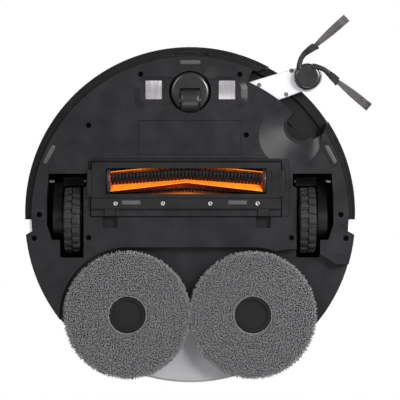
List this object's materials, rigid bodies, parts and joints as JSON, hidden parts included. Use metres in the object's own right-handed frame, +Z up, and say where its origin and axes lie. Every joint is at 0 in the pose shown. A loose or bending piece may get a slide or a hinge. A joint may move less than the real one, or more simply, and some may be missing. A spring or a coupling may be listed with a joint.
{
  "type": "robot vacuum",
  "caption": "Round robot vacuum and mop: roller brush, spinning mop pads, side brush on a swing-out arm, drive wheels, caster, sliding bumper and laser turret.",
  "frame": {"origin": "the point on the floor under the centre of the round body", "axes": "+Z up; +Y the direction the robot drives; +X the robot's right-hand side"},
  "size_m": [0.3653, 0.3883, 0.104],
  "materials": {
    "dark_shell": "fine matt texture",
    "black_inner": "matt",
    "white_shell": "satin gloss",
    "grey_panel": "matt",
    "dark_gloss": "gloss",
    "orange_rubber": "satin",
    "orange_plastic": "satin",
    "black_bristle": "fibres",
    "tyre_rubber": "matt",
    "grey_plastic": "matt",
    "steel": "satin",
    "contact_metal": "brushed",
    "mop_fabric": "loop pile",
    "smoked_bin": "smoked clear",
    "board": "solder mask"
  },
  "bodies": {
    "chassis": {"bottom_cover": "dark_shell", "mid_frame": "black_inner", "top_cover": "white_shell", "rear_panel": "grey_panel", "battery_pack": "grey_plastic", "battery_cover": "dark_shell", "main_board": "board", "fan_housing": "black_inner", "dust_bin": "smoked_bin", "brush_housing": "dark_shell", "brush_motor": "black_inner", "charging_contacts": "contact_metal", "cliff_windows": "dark_gloss", "wheel_boxes": "black_inner", "arm_bay": "black_inner", "carpet_sensor": "dark_gloss", "housing_screws": "steel", "suspension_pins": "steel", "lidar_base": "white_shell", "lidar_cap": "white_shell"},
    "fan": {"fan_impeller": "grey_plastic"},
    "lidar": {"lidar_rotor": "dark_gloss"},
    "power": {"power_button": "white_shell"},
    "home": {"home_button": "white_shell"},
    "lid": {"lid": "white_shell"},
    "bumper": {"bumper_shell": "white_shell", "bumper_lip": "dark_shell", "bumper_window": "dark_gloss"},
    "caster": {"caster_fork": "dark_gloss", "caster_axle": "steel"},
    "caster_roller": {"caster_wheel": "grey_plastic"},
    "suspension_right": {"drive_arm_right": "black_inner"},
    "suspension_left": {"drive_arm_left": "black_inner"},
    "wheel_right": {"wheel_hub_right": "grey_plastic", "tyre_right": "tyre_rubber"},
    "wheel_left": {"wheel_hub_left": "grey_plastic", "tyre_left": "tyre_rubber"},
    "brush_door": {"brush_cover": "dark_shell", "brush_cover_screws": "steel", "brush_grip_pads": "grey_plastic"},
    "roller": {"brush_core": "orange_plastic", "brush_fins": "orange_rubber", "brush_bristles": "black_bristle"},
    "arm": {"side_arm": "white_shell", "side_arm_screws": "grey_plastic"},
    "side_brush": {"side_brush_hub": "dark_gloss", "side_brush_legs": "tyre_rubber", "side_brush_bristles": "black_bristle"},
    "lift_right": {"mop_lift_right": "black_inner"},
    "mop_right": {"mop_disc_right": "black_inner", "mop_pad_right": "mop_fabric"},
    "swing_left": {"mop_swing_arm": "black_inner"},
    "lift_left": {"mop_lift_left": "black_inner"},
    "mop_left": {"mop_disc_left": "black_inner", "mop_pad_left": "mop_fabric"}
  },
  "joints": [
    {"name": "bumper_press", "type": "slide", "parent": "chassis", "child": "bumper", "axis": [0, -1, 0], "range_m": [0, 0.004], "stiffness_N_per_m": 500, "springref_m": -0.002},
    {"name": "lid_hinge", "type": "hinge", "parent": "chassis", "child": "lid", "pos_m": [0, 0.01, 0.0876], "axis": [1, 0, 0], "range_deg": [0, 85]},
    {"name": "power_press", "type": "slide", "parent": "chassis", "child": "power", "axis": [0, 0, -1], "range_m": [0, 0.001], "stiffness_N_per_m": 400, "springref_m": -0.001},
    {"name": "home_press", "type": "slide", "parent": "chassis", "child": "home", "axis": [0, 0, -1], "range_m": [0, 0.001], "stiffness_N_per_m": 400, "springref_m": -0.001},
    {"name": "lidar_spin", "type": "hinge", "parent": "chassis", "child": "lidar", "pos_m": [0, -0.042, 0.095], "axis": [0, 0, 1], "continuous": true},
    {"name": "fan_spin", "type": "hinge", "parent": "chassis", "child": "fan", "pos_m": [0.066, -0.03, 0.055], "axis": [0, 0, 1], "continuous": true},
    {"name": "caster_swivel", "type": "hinge", "parent": "chassis", "child": "caster", "pos_m": [0, 0.1305, 0.03], "axis": [0, 0, 1], "continuous": true},
    {"name": "caster_roll", "type": "hinge", "parent": "caster", "child": "caster_roller", "pos_m": [0, 0.1217, 0.0118], "axis": [1, 0, 0], "continuous": true},
    {"name": "suspension_right_drop", "type": "hinge", "parent": "chassis", "child": "suspension_right", "pos_m": [0.125, 0.0365, 0.05], "axis": [-1, 0, 0], "range_deg": [-25, 0]},
    {"name": "suspension_left_drop", "type": "hinge", "parent": "chassis", "child": "suspension_left", "pos_m": [-0.125, 0.0365, 0.05], "axis": [-1, 0, 0], "range_deg": [-25, 0]},
    {"name": "wheel_right_spin", "type": "hinge", "parent": "suspension_right", "child": "wheel_right", "pos_m": [0.125, -0.0055, 0.035], "axis": [1, 0, 0], "continuous": true},
    {"name": "wheel_left_spin", "type": "hinge", "parent": "suspension_left", "child": "wheel_left", "pos_m": [-0.125, -0.0055, 0.035], "axis": [1, 0, 0], "continuous": true},
    {"name": "brush_door_release", "type": "slide", "parent": "chassis", "child": "brush_door", "axis": [0, 0, -1], "range_m": [0, 0.03]},
    {"name": "roller_spin", "type": "hinge", "parent": "chassis", "child": "roller", "pos_m": [0.0039, 0.036, 0.024], "axis": [1, 0, 0], "continuous": true},
    {"name": "arm_swing", "type": "hinge", "parent": "chassis", "child": "arm", "pos_m": [-0.0663, 0.1273, 0.024], "axis": [0, 0, 1], "range_deg": [0, 51]},
    {"name": "side_brush_spin", "type": "hinge", "parent": "arm", "child": "side_brush", "pos_m": [-0.1245, 0.1467, 0.012], "axis": [0, 0, 1], "continuous": true},
    {"name": "mop_right_lift", "type": "slide", "parent": "chassis", "child": "lift_right", "axis": [0, 0, 1], "range_m": [0, 0.01]},
    {"name": "mop_right_spin", "type": "hinge", "parent": "lift_right", "child": "mop_right", "pos_m": [0.0662, -0.1055, 0.01], "axis": [0, 0, 1], "continuous": true},
    {"name": "mop_left_swing", "type": "hinge", "parent": "chassis", "child": "swing_left", "pos_m": [-0.0878, -0.053, 0.032], "axis": [0, 0, 1], "range_deg": [-45, 0]},
    {"name": "mop_left_lift", "type": "slide", "parent": "swing_left", "child": "lift_left", "axis": [0, 0, 1], "range_m": [0, 0.01]},
    {"name": "mop_left_spin", "type": "hinge", "parent": "lift_left", "child": "mop_left", "pos_m": [-0.0662, -0.1055, 0.01], "axis": [0, 0, 1], "continuous": true}
  ]
}
